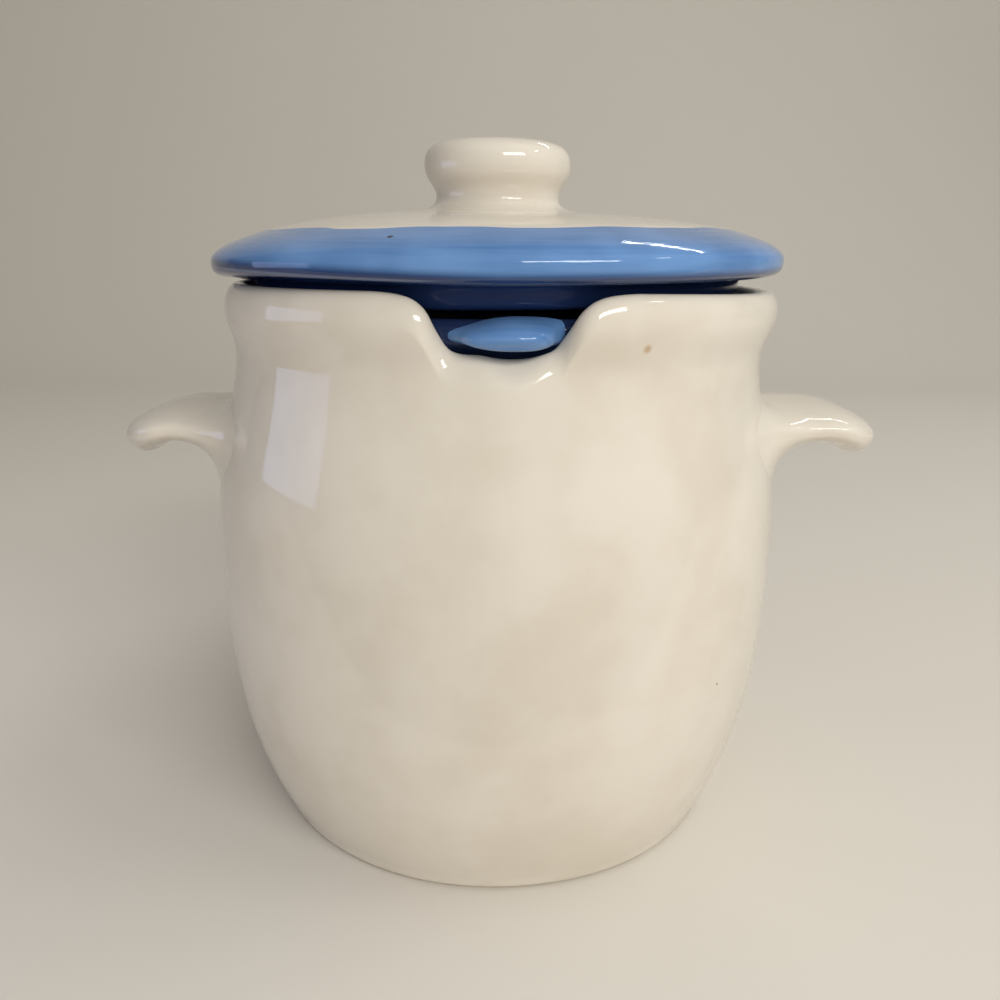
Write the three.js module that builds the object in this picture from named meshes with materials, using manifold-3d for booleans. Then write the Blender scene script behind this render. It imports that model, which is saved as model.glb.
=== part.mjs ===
// Lidded grease jar of glazed earthenware, with a drop-in strainer that keeps the crumbs out of the fat.
// Millimetres, +Z up. The origin is on the table under the middle of the jar, and the notch faces -Y.
import * as THREE from 'three';
import { mergeVertices } from 'three/addons/utils/BufferGeometryUtils.js';
import Module from 'manifold-3d';

const wasm = await Module();
wasm.setup();

// Jar body: a full belly on a narrower foot, a drawn-in neck and a flared rim
const footRadius = 58.2;
const bellyRadius = 71.6;
const bellyHeight = 70;
const neckRadius = 65.3;
const neckBelowRim = 16.5;
const rimRadius = 67.8;
const rimHeight = 135.3;
const lipHeight = 5.4; // height of the rounded lip over the straight wall
const wallThickness = 5.6;
const floorThickness = 7;
const floorRound = 16; // inner radius between the floor and the wall
const footRingWidth = 7;
const footRingRecess = 1.6; // how far the unglazed underside lies above the table
const footRound = 2;
const lowerCurveShare = 2.8; // exponent of the curve from belly to foot: higher is fuller
const upperCurveShare = 1.4; // exponent of the curve from belly to neck: higher keeps the belly longer

// Notch in the front of the rim: its edge rolls outward as a spout, with a small pouring dip
const notchTopWidth = 45;
const notchFloorWidth = 17;
const notchDepth = 11.1; // down to the inner edge of its floor
const notchShoulderShare = 1.5; // exponent of its flanks: higher gives gentler shoulders at the rim
const spoutDrop = 2; // how far the outer edge of the notch rolls down below its inner edge
const dipWidth = 15;
const dipDepth = 1.6; // and further in the dip
const dipOffset = 2.4; // the dip sits this far to the right of the middle

// Seat inside the mouth: a 45 degree step from the mouth in to the neck, which carries the strainer
const seatBelowRim = 9.1; // from the rim down to the top of the step

// Lugs luted to the sides: flat thumb rests whose tips curl down
const rightLugReach = 96; // from the jar's axis to the tip
const leftLugReach = 93.8;
const rightLugTopHeight = 104.1;
const leftLugTopHeight = 103.3;
const lugWidth = 44;
const lugThickness = 8;
const lugTipDrop = 5.4; // how far the middle of the tip hangs below the middle of the root
const lugTipLength = 12; // the rounded end, seen from above
const lugCurlLength = 15; // the stretch over which the lug curls down
const lugSideFillet = 6;
const lugTopFillet = 2.2;
const lugUnderFillet = 14; // height of the fillet under the lug
const lugTopFilletLength = 3; // how far the fillet over the lug runs out along it
const lugFilletLength = 8.5; // how far the fillets under and beside the lug run out along it
const lugRootDepth = 9; // the loft starts this deep in the wall, and is then cut to the wall's face
const lugSquareness = 0.8; // exponent of its section: 1 is an ellipse, less is squarer

// Strainer: a perforated dish with a rolled ring and a thumb tab that lies in the notch
const ringHeight = 6.2; // from the foot of the seat to the top of the ring
const ringWidth = 5.2;
const dishDepth = 24; // from the top of the ring to the underside of the floor
const dishThickness = 4.2;
const dishRound = 15; // outer radius between the wall and the floor
const strainerClearance = 1; // round the ring in the mouth and round the dish in the neck
const holeDiameter = 4.8;
const holePitch = 11; // from one ring of holes to the next
const tabReach = 7.4; // how far the tab stands out from the ring
const tabThickness = 6.3;
const tabDroop = 1.1; // how far the nose hangs below the root
const tabClearance = 1.1; // over the rolled edge of the notch
const tabSquareness = 0.75; // exponent of its section and of its outline from above
const strainerTurn = 2.4; // degrees that the strainer is turned in its seat, to the right

// Lid: a shallow dome, a thick rounded brim and a locating ring underneath
const brimOverhang = 1.4; // how far the brim stands out past the rim
const brimNoseRise = 4; // from the underside of the brim to its widest line
const brimNoseDepth = 6.4; // from the widest line in to the flat underside
const brimShoulderShare = 1.4; // exponent of its upper curve: 2 is an ellipse, less is flatter
const domeRadius = 56.5;
const domeRise = 11.7; // from the underside of the brim to the edge of the dome
const domeCrown = 3.7; // rise of the dome from its edge to its middle
const lidThickness = 5.2;
const locatorClearance = 3; // between the locating ring and the mouth
const locatorWidth = 5;
const locatorFillet = 1.6;
const locatorOverRing = 1.5; // from the strainer's ring up to the locating ring

// Knob luted to the middle of the lid
const knobRadius = 17.9;
const knobHeight = 17.1;
const knobWaistRadius = 15.1;
const knobWaistHeight = 3.5;
const knobFootRadius = 20.4;
const knobFootEdge = 0.5;
const knobBulgeShare = 0.54; // height of the widest line, from the waist to the top
const knobPullShares = {
  foot: 0.75, underWaist: 0.4, overWaist: 0.4, underBulge: 0.5, overBulge: 0.8, top: 0.83,
};

// Gap between pieces that touch
const seatGap = 0.3;

// Counts of facets
const notchColumns = 24;
const wallColumns = 44;
const lidColumns = 44;
const strainerColumns = 44;
const knobColumns = 28;
const envelopeColumns = 72;
const envelopeRows = 40;
const lugSides = 16;
const lugTipSteps = 9;
const tabSides = 16;
const tabSteps = 9;
const drillSides = 8;
const curveSteps = 4;
const lipSteps = 6;

// Sizes worked out from those above
const neckHeight = rimHeight - neckBelowRim;
const flareHeight = rimHeight - lipHeight;
const mouthRadius = rimRadius - wallThickness;
const throatRadius = neckRadius - wallThickness;
const seatWidth = mouthRadius - throatRadius;
const seatTop = rimHeight - seatBelowRim;
const seatFoot = seatTop - seatWidth;
const notchFloorHeight = rimHeight - notchDepth;
const spoutFoot = notchFloorHeight - spoutDrop - dipDepth;
const loftHeight = spoutFoot - 2 * lipHeight; // below this the wall is a plain revolve
const ringRadius = mouthRadius - strainerClearance;
const dishRadius = throatRadius - strainerClearance;
const ringTop = seatFoot + ringHeight;
const lidSeat = rimHeight + seatGap;
const brimRadius = rimRadius + brimOverhang;
const locatorRadius = mouthRadius - locatorClearance;
const locatorFoot = ringTop + locatorOverRing;
const domeEdge = lidSeat + domeRise;
const domeTop = domeEdge + domeCrown;

const cream = new THREE.MeshStandardMaterial({ color: '#e6ddcf', roughness: 0.12, metalness: 0 });
const blue = new THREE.MeshStandardMaterial({ color: '#5b88c4', roughness: 0.15, metalness: 0 });

// A closed solid from a geometry: shared corners merged, collapsed faces dropped, faces turned outward
function solidFrom(geometry) {
  const bare = geometry.index ? geometry.clone() : geometry;
  bare.deleteAttribute('normal');
  bare.deleteAttribute('uv');
  const merged = mergeVertices(bare);
  const corners = merged.attributes.position;
  const faces = [];
  for (let i = 0; i < merged.index.count; i += 3) {
    const face = [merged.index.getX(i), merged.index.getX(i + 1), merged.index.getX(i + 2)];
    if (new Set(face).size === 3) faces.push(face);
  }
  const [a, b, c] = [new THREE.Vector3(), new THREE.Vector3(), new THREE.Vector3()];
  let volume = 0;
  for (const [i, j, k] of faces) {
    a.fromBufferAttribute(corners, i);
    b.fromBufferAttribute(corners, j);
    c.fromBufferAttribute(corners, k);
    volume += a.dot(b.cross(c));
  }
  if (volume < 0) faces.forEach((face) => face.reverse());
  return new wasm.Manifold(new wasm.Mesh({
    numProp: 3,
    vertProperties: new Float32Array(corners.array),
    triVerts: new Uint32Array(faces.flat()),
  }));
}

function meshFrom(name, solid, material) {
  const { vertProperties, triVerts } = solid.getMesh();
  const geometry = new THREE.BufferGeometry();
  geometry.setAttribute('position', new THREE.BufferAttribute(new Float32Array(vertProperties), 3));
  geometry.setIndex(new THREE.BufferAttribute(new Uint32Array(triVerts), 1));
  geometry.computeVertexNormals();
  const mesh = new THREE.Mesh(geometry, material);
  mesh.name = name;
  return mesh;
}

// Skin over closed rings of points, with the same count in each, closed at both ends by a point
function loft(startPoint, rings, endPoint) {
  const count = rings[0].length;
  const points = [startPoint, ...rings.flat(), endPoint];
  const at = (ring, i) => 1 + ring * count + (i % count);
  const last = points.length - 1;
  const index = [];
  for (let i = 0; i < count; i += 1) {
    index.push(0, at(0, i + 1), at(0, i));
    for (let ring = 0; ring < rings.length - 1; ring += 1) {
      index.push(at(ring, i), at(ring, i + 1), at(ring + 1, i + 1));
      index.push(at(ring, i), at(ring + 1, i + 1), at(ring + 1, i));
    }
    index.push(at(rings.length - 1, i), at(rings.length - 1, i + 1), last);
  }
  const geometry = new THREE.BufferGeometry().setFromPoints(points);
  geometry.setIndex(index);
  return solidFrom(geometry);
}

// Revolve about the jar's axis of an outline of (radius, height) points that starts and ends on it
function revolve(outline, columns) {
  return solidFrom(new THREE.LatheGeometry(outline, columns).rotateX(Math.PI / 2));
}

function radiusAndHeight(radius, height) {
  return new THREE.Vector2(radius, height);
}

// Points of a quarter of an ellipse round a centre, without its first point
function ellipseQuarter(centreRadius, centreHeight, width, height, fromAngle, toAngle, steps) {
  const points = [];
  for (let i = 1; i <= steps; i += 1) {
    const angle = fromAngle + ((toAngle - fromAngle) * i) / steps;
    const out = centreRadius + width * Math.cos(angle);
    points.push(radiusAndHeight(out, centreHeight + height * Math.sin(angle)));
  }
  return points;
}

const quarter = Math.PI / 2;

// Numbers from one value up to, but without, another
function evenSteps(from, to, steps) {
  return Array.from({ length: steps }, (unused, i) => THREE.MathUtils.lerp(from, to, i / steps));
}

// Shares from 0 up to, but without, 1, which crowd towards 1
function sineShares(steps) {
  return evenSteps(0, quarter, steps).map((angle) => Math.sin(angle));
}

// Closed section between -1 and 1 each way: an ellipse at squareness 1, squarer below that
function roundedSection(sides, squareness) {
  const bulged = (value) => Math.sign(value) * Math.abs(value) ** squareness;
  return evenSteps(0, 2 * Math.PI, sides).map(
    (angle) => new THREE.Vector2(bulged(Math.cos(angle)), bulged(Math.sin(angle))),
  );
}

// Extra size of a section at a distance from the wall, where a fillet runs out over a length
function fillet(size, distance, length) {
  return size * THREE.MathUtils.clamp(1 - distance / length, 0, 1) ** 3;
}

// Outside of the jar: radius at a height
function outerRadius(height) {
  if (height <= bellyHeight) {
    const down = 1 - height / bellyHeight;
    return bellyRadius - (bellyRadius - footRadius) * down ** lowerCurveShare;
  }
  if (height <= neckHeight) {
    const up = ((height - bellyHeight) / (neckHeight - bellyHeight)) ** upperCurveShare;
    return neckRadius + ((bellyRadius - neckRadius) * (1 + Math.cos(Math.PI * up))) / 2;
  }
  const flare = Math.min((height - neckHeight) / (flareHeight - neckHeight), 1);
  return neckRadius + ((rimRadius - neckRadius) * (1 - Math.cos(Math.PI * flare))) / 2;
}

// Inside of the jar above the rounded floor: an even wall, the neck, the strainer's seat and the mouth
function innerRadius(height) {
  if (height <= neckHeight) return outerRadius(height) - wallThickness;
  return THREE.MathUtils.clamp(throatRadius + height - seatFoot, throatRadius, mouthRadius);
}

// Top of the rim without the dip, at a distance along it from the middle of the notch, to the right
function rimTopAt(along) {
  const flank = (notchTopWidth / 2 - Math.abs(along)) / ((notchTopWidth - notchFloorWidth) / 2);
  const share = Math.max(flank, 0) ** notchShoulderShare;
  return rimHeight - notchDepth * THREE.MathUtils.smoothstep(share, 0, 1);
}

// How far the outer edge rolls down there: the inner edge stays up, so the fat runs outward
function spoutAt(along) {
  const depthShare = (rimHeight - rimTopAt(along)) / notchDepth;
  const away = Math.min(Math.abs(along - dipOffset) / (dipWidth / 2), 1);
  return spoutDrop * depthShare ** 2 + dipDepth * (1 - away ** 2) ** 2;
}

// Directions of the columns of the jar's skin, close together across the notch
function columnAngles() {
  const notchHalfAngle = notchTopWidth / 2 / rimRadius;
  const angles = [];
  for (let i = 0; i < notchColumns; i += 1) {
    angles.push(notchHalfAngle * ((2 * i) / notchColumns - 1));
  }
  for (let i = 0; i < wallColumns; i += 1) {
    angles.push(notchHalfAngle + ((2 * Math.PI - 2 * notchHalfAngle) * i) / wallColumns);
  }
  return angles;
}

// One column of the jar's skin: up the outside, over the lip and down the inside
function wallColumn(rimTop, spout) {
  const innerFoot = rimTop - lipHeight;
  const outerFoot = innerFoot - spout;
  const rowGap = lipHeight / 16; // rows that the notch cuts off lie this close under its lip
  const under = (foot, heights) => {
    const rowsAbove = (i) => heights.length - 1 - i;
    return heights.map((height, i) => Math.min(height, foot - rowsAbove(i) * rowGap));
  };
  const ringOuter = outerRadius(footRound) - footRound;
  const footCurve = ellipseQuarter(ringOuter, footRound, footRound, footRound, -quarter, 0, 2);
  const ringInner = ringOuter - footRingWidth;
  const lowerShares = [0.07, 0.14, 0.23, 0.34, 0.47, 0.62, 0.8, 1];
  const middleShares = [0.3, 0.6, 0.82, 1];
  const flareShares = [0.25, 0.5, 0.75, 1];
  const lower = lowerShares.map((share) => share * bellyHeight);
  const middle = middleShares.map((share) => bellyHeight + share * (loftHeight - bellyHeight));
  const flare = flareShares.map((share) => neckHeight + share * (flareHeight - neckHeight));
  const upperOuter = under(outerFoot, [neckHeight, ...flare]);
  const upperInner = under(innerFoot, [neckHeight, seatFoot, seatTop, flareHeight]).slice(0, -1);
  const outside = (height) => radiusAndHeight(outerRadius(height), height);
  const inside = (height) => radiusAndHeight(innerRadius(height), height);
  const lipInner = innerRadius(innerFoot + lipHeight / 2); // where the notch cuts the seat, no ledge stays
  const lipMiddle = (outerRadius(outerFoot) + lipInner) / 2;
  const lipHalf = (outerRadius(outerFoot) - lipInner) / 2;
  const lip = ellipseQuarter(lipMiddle, outerFoot, lipHalf, lipHeight, 0, Math.PI, lipSteps);
  lip.forEach((point, i) => {
    point.y += spout * THREE.MathUtils.smoothstep((i + 1) / lipSteps, 0, 1);
    point.x = Math.max(point.x, innerRadius(point.y));
  });
  const floorEdge = floorThickness + floorRound;
  const floorRadius = innerRadius(floorEdge) - floorRound;
  const corner = ellipseQuarter(floorRadius, floorEdge, floorRound, floorRound, 0, -quarter, 3);
  return [
    radiusAndHeight(ringInner - footRingRecess, footRingRecess),
    radiusAndHeight(ringInner, 0),
    radiusAndHeight(ringOuter, 0),
    ...footCurve,
    ...lower.map(outside),
    ...middle.map(outside),
    ...upperOuter.map(outside),
    ...lip,
    ...upperInner.toReversed().map(inside),
    ...middle.toReversed().map(inside),
    ...lower.filter((height) => height > floorEdge).toReversed().map(inside),
    inside(floorEdge),
    ...corner,
  ];
}

function jarBody() {
  const columns = columnAngles().map((angle) => {
    const direction = new THREE.Vector3(Math.sin(angle), -Math.cos(angle), 0);
    const along = Math.abs(angle) < Math.PI ? angle * rimRadius : notchTopWidth;
    const column = wallColumn(rimTopAt(along), spoutAt(along));
    return column.map(({ x, y }) => direction.clone().multiplyScalar(x).setZ(y));
  });
  const rings = columns[0].map((point, row) => columns.map((column) => column[row]));
  return loft(new THREE.Vector3(0, 0, footRingRecess), rings, new THREE.Vector3(0, 0, floorThickness));
}

// The room that the jar's outside fills, grown by the gap that luted pieces keep
function jarEnvelope() {
  const outline = [radiusAndHeight(0, 0)];
  for (let i = 0; i <= envelopeRows; i += 1) {
    const height = (flareHeight * i) / envelopeRows;
    outline.push(radiusAndHeight(outerRadius(height) + seatGap, height));
  }
  outline.push(radiusAndHeight(0, flareHeight));
  return revolve(outline, envelopeColumns);
}

// One lug on the +X side: rounded sections swept out of the wall along a line that curls down at the tip
function lug(reach, topHeight) {
  const topWall = outerRadius(topHeight);
  const underWall = outerRadius(topHeight - lugThickness - lugUnderFillet);
  const sideWall = Math.sqrt(topWall ** 2 - (lugWidth / 2 + lugSideFillet) ** 2);
  const filletEnd = underWall + lugFilletLength;
  const middleHeight = topHeight - lugThickness / 2;
  const stations = [
    topWall - lugRootDepth,
    ...evenSteps(sideWall, underWall, 4),
    ...evenSteps(underWall, filletEnd, 6),
    ...sineShares(lugTipSteps).map((share) => THREE.MathUtils.lerp(filletEnd, reach, share)),
  ];
  const rings = stations.map((out) => {
    const curl = Math.max((out - (reach - lugCurlLength)) / lugCurlLength, 0);
    const tip = Math.max((out - (reach - lugTipLength)) / lugTipLength, 0);
    const end = Math.max((out - (reach - lugThickness / 2)) / (lugThickness / 2), 0);
    const up = new THREE.Vector3((2 * lugTipDrop * curl) / lugCurlLength, 0, 1).normalize();
    const middle = new THREE.Vector3(out, 0, middleHeight - lugTipDrop * curl ** 2);
    const sideFlare = fillet(lugSideFillet, out - sideWall, lugFilletLength);
    const halfWidth = (lugWidth / 2) * Math.sqrt(1 - tip ** 2) + sideFlare;
    const halfThickness = (lugThickness / 2) * Math.sqrt(1 - end ** 2);
    const topRise = halfThickness + fillet(lugTopFillet, out - topWall, lugTopFilletLength);
    const underRise = halfThickness + fillet(lugUnderFillet, out - underWall, lugFilletLength);
    return roundedSection(lugSides, lugSquareness).map(({ x, y }) => {
      const point = middle.clone().addScaledVector(up, y * (y > 0 ? topRise : underRise));
      return point.setY(x * halfWidth);
    });
  });
  const root = new THREE.Vector3(stations[0], 0, middleHeight);
  return loft(root, rings, new THREE.Vector3(reach, 0, middleHeight - lugTipDrop)).subtract(jarEnvelope());
}

// Perforated dish: the outline runs up the outside, over the rolled ring and down the inside
function strainerDish() {
  const dishFoot = ringTop - dishDepth;
  const overSeat = seatGap * Math.SQRT2 - strainerClearance; // upright, which leaves the gap square to it
  const flatRadius = dishRadius - dishRound;
  const innerWall = dishRadius - dishThickness;
  const innerRound = dishRound - dishThickness;
  const floorTop = dishFoot + dishThickness;
  const roll = ringWidth / 2;
  const outline = [
    radiusAndHeight(0, dishFoot),
    radiusAndHeight(flatRadius, dishFoot),
    ...ellipseQuarter(flatRadius, dishFoot + dishRound, dishRound, dishRound, -quarter, 0, curveSteps),
    radiusAndHeight(dishRadius, seatFoot + overSeat),
    radiusAndHeight(ringRadius, seatTop + overSeat),
    radiusAndHeight(ringRadius, ringTop - roll),
    ...ellipseQuarter(ringRadius - roll, ringTop - roll, roll, roll, 0, Math.PI, 6),
    radiusAndHeight(innerWall, seatFoot),
    radiusAndHeight(innerWall, floorTop + innerRound),
    ...ellipseQuarter(flatRadius, floorTop + innerRound, innerRound, innerRound, 0, -quarter, curveSteps),
    radiusAndHeight(0, floorTop),
  ];
  let dish = revolve(outline, strainerColumns);
  const rounds = Math.floor(flatRadius / holePitch);
  for (let round = 0; round <= rounds; round += 1) {
    const holes = Math.max(6 * round, 1);
    for (let k = 0; k < holes; k += 1) {
      const angle = (2 * Math.PI * k) / holes;
      const bore = holeDiameter / 2;
      const drill = new THREE.CylinderGeometry(bore, bore, 3 * dishThickness, drillSides);
      drill.rotateX(quarter);
      drill.translate(
        round * holePitch * Math.sin(angle),
        -round * holePitch * Math.cos(angle),
        dishFoot + dishThickness / 2,
      );
      dish = dish.subtract(solidFrom(drill));
    }
  }
  return dish;
}

// Thumb tab: a pillow with a rounded nose, cut at the back to the outside of the ring
function strainerTab() {
  const edgeHeight = notchFloorHeight - spoutDrop / 2;
  const middleHeight = edgeHeight + tabClearance + tabThickness / 2;
  const halfWidth = notchFloorWidth / 2;
  const length = tabReach + ringWidth / 2;
  const root = ringRadius - ringWidth / 2;
  const rings = sineShares(tabSteps).map((share) => {
    const swell = Math.sqrt(1 - share ** 2) ** tabSquareness;
    return roundedSection(tabSides, tabSquareness).map(({ x, y }) => new THREE.Vector3(
      x * swell * halfWidth,
      -root - length * share,
      middleHeight - tabDroop * share ** 2 + (y * swell * tabThickness) / 2,
    ));
  });
  const back = new THREE.Vector3(0, -root, middleHeight);
  const pillow = loft(back, rings, new THREE.Vector3(0, -root - length, middleHeight - tabDroop));
  const ringRoom = revolve([
    radiusAndHeight(0, seatFoot),
    radiusAndHeight(ringRadius + seatGap, seatFoot),
    radiusAndHeight(ringRadius + seatGap, ringTop + tabThickness),
    radiusAndHeight(0, ringTop + tabThickness),
  ], 2 * strainerColumns);
  return pillow.subtract(ringRoom);
}

function domeHeight(radius) {
  return domeTop - domeCrown * (radius / domeRadius) ** 2;
}

// Lid: over the dome and the brim, under the brim to the locating ring, and back under the dome
function lidShell() {
  const nose = lidSeat + brimNoseRise;
  const domeShares = [0, 0.35, 0.6, 0.8, 1];
  const innerRadiusUnder = locatorRadius - locatorWidth;
  const noseRadius = brimRadius - brimNoseDepth;
  const filletRadius = locatorRadius + locatorFillet;
  const filletFoot = lidSeat - locatorFillet;
  const roll = locatorWidth / 2;
  const shoulder = ellipseQuarter(0, 0, 1, 1, quarter, 0, 7).map(({ x, y }) => radiusAndHeight(
    THREE.MathUtils.lerp(domeRadius, brimRadius, x ** (2 / brimShoulderShare)),
    THREE.MathUtils.lerp(nose, domeEdge, y ** (2 / brimShoulderShare)),
  ));
  const outline = [
    ...domeShares.map((share) => radiusAndHeight(share * domeRadius, domeHeight(share * domeRadius))),
    ...shoulder,
    ...ellipseQuarter(noseRadius, nose, brimNoseDepth, brimNoseRise, 0, -quarter, curveSteps),
    radiusAndHeight(filletRadius, lidSeat),
    ...ellipseQuarter(filletRadius, filletFoot, locatorFillet, locatorFillet, quarter, 2 * quarter, 2),
    radiusAndHeight(locatorRadius, locatorFoot + roll),
    ...ellipseQuarter(locatorRadius - roll, locatorFoot + roll, roll, roll, 0, -2 * quarter, 4),
    ...domeShares.toReversed().map((share) => {
      const radius = share * innerRadiusUnder;
      return radiusAndHeight(radius, domeHeight(radius) - lidThickness);
    }),
  ];
  return revolve(outline, lidColumns);
}

// Knob: a flared foot that follows the dome, a waist and a full rounded head
function lidKnob() {
  const seat = (radius) => domeHeight(radius) + seatGap;
  const base = seat(knobFootRadius);
  const edge = base + knobFootEdge;
  const waist = base + knobWaistHeight;
  const top = base + knobHeight;
  const bulge = THREE.MathUtils.lerp(waist, top, knobBulgeShare);
  const pull = knobPullShares;
  const side = new THREE.Path();
  side.moveTo(knobFootRadius, edge);
  side.bezierCurveTo(
    THREE.MathUtils.lerp(knobFootRadius, knobWaistRadius, pull.foot), edge,
    knobWaistRadius, THREE.MathUtils.lerp(base, waist, pull.underWaist),
    knobWaistRadius, waist,
  );
  side.bezierCurveTo(
    knobWaistRadius, THREE.MathUtils.lerp(waist, bulge, pull.overWaist),
    knobRadius, THREE.MathUtils.lerp(bulge, waist, pull.underBulge),
    knobRadius, bulge,
  );
  side.bezierCurveTo(
    knobRadius, THREE.MathUtils.lerp(bulge, top, pull.overBulge),
    knobRadius * pull.top, top,
    0, top,
  );
  const outline = [
    radiusAndHeight(0, seat(0)),
    radiusAndHeight(knobFootRadius / 2, seat(knobFootRadius / 2)),
    radiusAndHeight(knobFootRadius, base),
    ...side.getPoints(curveSteps + 1),
  ];
  return revolve(outline, knobColumns);
}

const jar = new THREE.Group();
jar.add(meshFrom('jar_body', jarBody(), cream));
const rightLug = meshFrom('right_lug', lug(rightLugReach, rightLugTopHeight), cream);
const leftLug = meshFrom('left_lug', lug(leftLugReach, leftLugTopHeight), cream);
leftLug.rotation.z = Math.PI;
jar.add(rightLug, leftLug);

const strainer = new THREE.Group();
strainer.add(meshFrom('strainer_dish', strainerDish(), blue));
strainer.add(meshFrom('strainer_tab', strainerTab(), blue));
strainer.rotation.z = THREE.MathUtils.degToRad(strainerTurn);

const lid = new THREE.Group();
lid.add(meshFrom('lid', lidShell(), blue));
lid.add(meshFrom('lid_knob', lidKnob(), cream));

const greaseJar = new THREE.Group();
greaseJar.add(jar, strainer, lid);

export default greaseJar;
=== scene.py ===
import math

import bpy
from mathutils import Matrix, Vector, noise


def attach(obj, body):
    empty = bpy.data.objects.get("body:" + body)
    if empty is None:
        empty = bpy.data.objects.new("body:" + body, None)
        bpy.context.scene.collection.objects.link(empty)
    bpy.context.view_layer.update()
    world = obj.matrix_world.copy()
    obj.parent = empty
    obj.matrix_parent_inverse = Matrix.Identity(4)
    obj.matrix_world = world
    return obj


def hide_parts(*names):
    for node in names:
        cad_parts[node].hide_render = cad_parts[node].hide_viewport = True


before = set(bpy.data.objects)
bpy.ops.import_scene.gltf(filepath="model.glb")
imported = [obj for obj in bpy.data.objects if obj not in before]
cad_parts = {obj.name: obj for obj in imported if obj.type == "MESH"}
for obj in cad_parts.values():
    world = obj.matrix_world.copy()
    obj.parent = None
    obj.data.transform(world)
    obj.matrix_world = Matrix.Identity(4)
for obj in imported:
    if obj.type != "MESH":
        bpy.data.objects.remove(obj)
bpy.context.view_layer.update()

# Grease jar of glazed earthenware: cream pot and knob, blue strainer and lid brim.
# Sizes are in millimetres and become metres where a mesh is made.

mm = 0.001
quarter = math.pi / 2


def clamped(value):
    return min(max(value, 0), 1)


def smooth(value):
    share = clamped(value)
    return share * share * (3 - 2 * share)


def blendOf(low, high, share):
    return low + (high - low) * share


# Camera: fitted to the photo's ellipses and to the outline of the jar
photoView = {
    "frame": 1000,          # pixels across the square frame
    "focal": 923,           # pixels
    "horizonRow": 240,      # the row that lies level with the lens
    "distance": 240,        # from the jar's axis
    "height": 144.7,
    "sideways": 1,          # how far the lens is shifted to the right
    "roll": 0.45,           # degrees
    "azimuth": 0.5,         # degrees round the jar
}


def makeCamera():
    v = photoView
    pitch = math.atan((v["frame"] / 2 - v["horizonRow"]) / v["focal"])
    turn = math.radians(v["azimuth"])
    forward = Vector((math.sin(turn) * math.cos(pitch), math.cos(turn) * math.cos(pitch), -math.sin(pitch)))
    right = Vector((math.cos(turn), -math.sin(turn), 0))
    axes = Matrix((right, right.cross(forward), -forward)).transposed()
    spot = -v["distance"] * Vector((math.sin(turn), math.cos(turn), 0)) + v["sideways"] * right
    spot.z = v["height"]
    roll = Matrix.Rotation(math.radians(v["roll"]), 3, "Z")
    lens = bpy.data.cameras.new("photoCamera")
    lens.sensor_width = 36
    lens.lens = lens.sensor_width * v["focal"] / v["frame"]
    lens.clip_start = 0.01
    camera = bpy.data.objects.new("photoCamera", lens)
    bpy.context.scene.collection.objects.link(camera)
    camera.matrix_world = Matrix.Translation(spot * mm) @ (axes @ roll).to_4x4()
    bpy.context.scene.camera = camera


makeCamera()
print("camera set")


# Helpers for modelling
def startRing(name, columns, radius, height):
    bpy.ops.object.select_all(action="DESELECT")
    bpy.ops.mesh.primitive_circle_add(vertices=columns, radius=radius * mm, location=(0, 0, height * mm))
    piece = bpy.context.object
    piece.name = piece.data.name = name
    bpy.ops.object.transform_apply(location=True, rotation=True, scale=True)
    bpy.ops.object.mode_set(mode="EDIT")
    bpy.ops.mesh.select_all(action="SELECT")
    return piece


def throwPiece(name, columns, profile):
    # Throws a round piece ring by ring along its profile, from one pole to the other
    rings = profile[1:-1]
    piece = startRing(name, columns, *rings[0])
    radius, height = rings[0]
    for nextRadius, nextHeight in rings[1:]:
        rise = {"value": (0, 0, (nextHeight - height) * mm)}
        bpy.ops.mesh.extrude_region_move(TRANSFORM_OT_translate=rise)
        grow = nextRadius / radius
        bpy.ops.transform.resize(value=(grow, grow, 1), center_override=(0, 0, 0))
        radius, height = nextRadius, nextHeight
    closePole(profile[-1][1] - height)
    bpy.ops.mesh.select_all(action="DESELECT")
    bpy.ops.mesh.select_mode(type="EDGE")
    bpy.ops.mesh.select_non_manifold()
    closePole(profile[0][1] - rings[0][1])
    bpy.ops.mesh.select_all(action="SELECT")
    bpy.ops.mesh.normals_make_consistent(inside=False)
    bpy.ops.object.mode_set(mode="OBJECT")
    return piece


def closePole(rise):
    bpy.ops.mesh.extrude_region_move(TRANSFORM_OT_translate={"value": (0, 0, rise * mm)})
    bpy.ops.mesh.merge(type="CENTER")


def startSkin(name, sizes):
    # A ball whose points are then moved one by one, so that its poles become the root and the tip of a piece
    bpy.ops.object.select_all(action="DESELECT")
    bpy.ops.mesh.primitive_uv_sphere_add(segments=sizes["segments"], ring_count=sizes["rings"], radius=1)
    piece = bpy.context.object
    piece.name = piece.data.name = name
    return piece


def placeOnBall(vertex):
    # Its share of the way from root to tip, and its angle round that way
    return math.acos(min(max(vertex.co.z, -1), 1)) / math.pi, math.atan2(vertex.co.y, vertex.co.x)


def turnFacesOut():
    bpy.ops.object.mode_set(mode="EDIT")
    bpy.ops.mesh.select_all(action="SELECT")
    bpy.ops.mesh.normals_make_consistent(inside=False)
    bpy.ops.object.mode_set(mode="OBJECT")


def smoothPiece(piece, levels):
    bpy.ops.object.select_all(action="DESELECT")
    piece.select_set(True)
    bpy.context.view_layer.objects.active = piece
    if levels:
        skin = piece.modifiers.new("skin", "SUBSURF")
        skin.levels = skin.render_levels = levels
        bpy.ops.object.modifier_apply(modifier=skin.name)
    bpy.ops.object.shade_smooth_by_angle(angle=math.radians(50))


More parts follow.
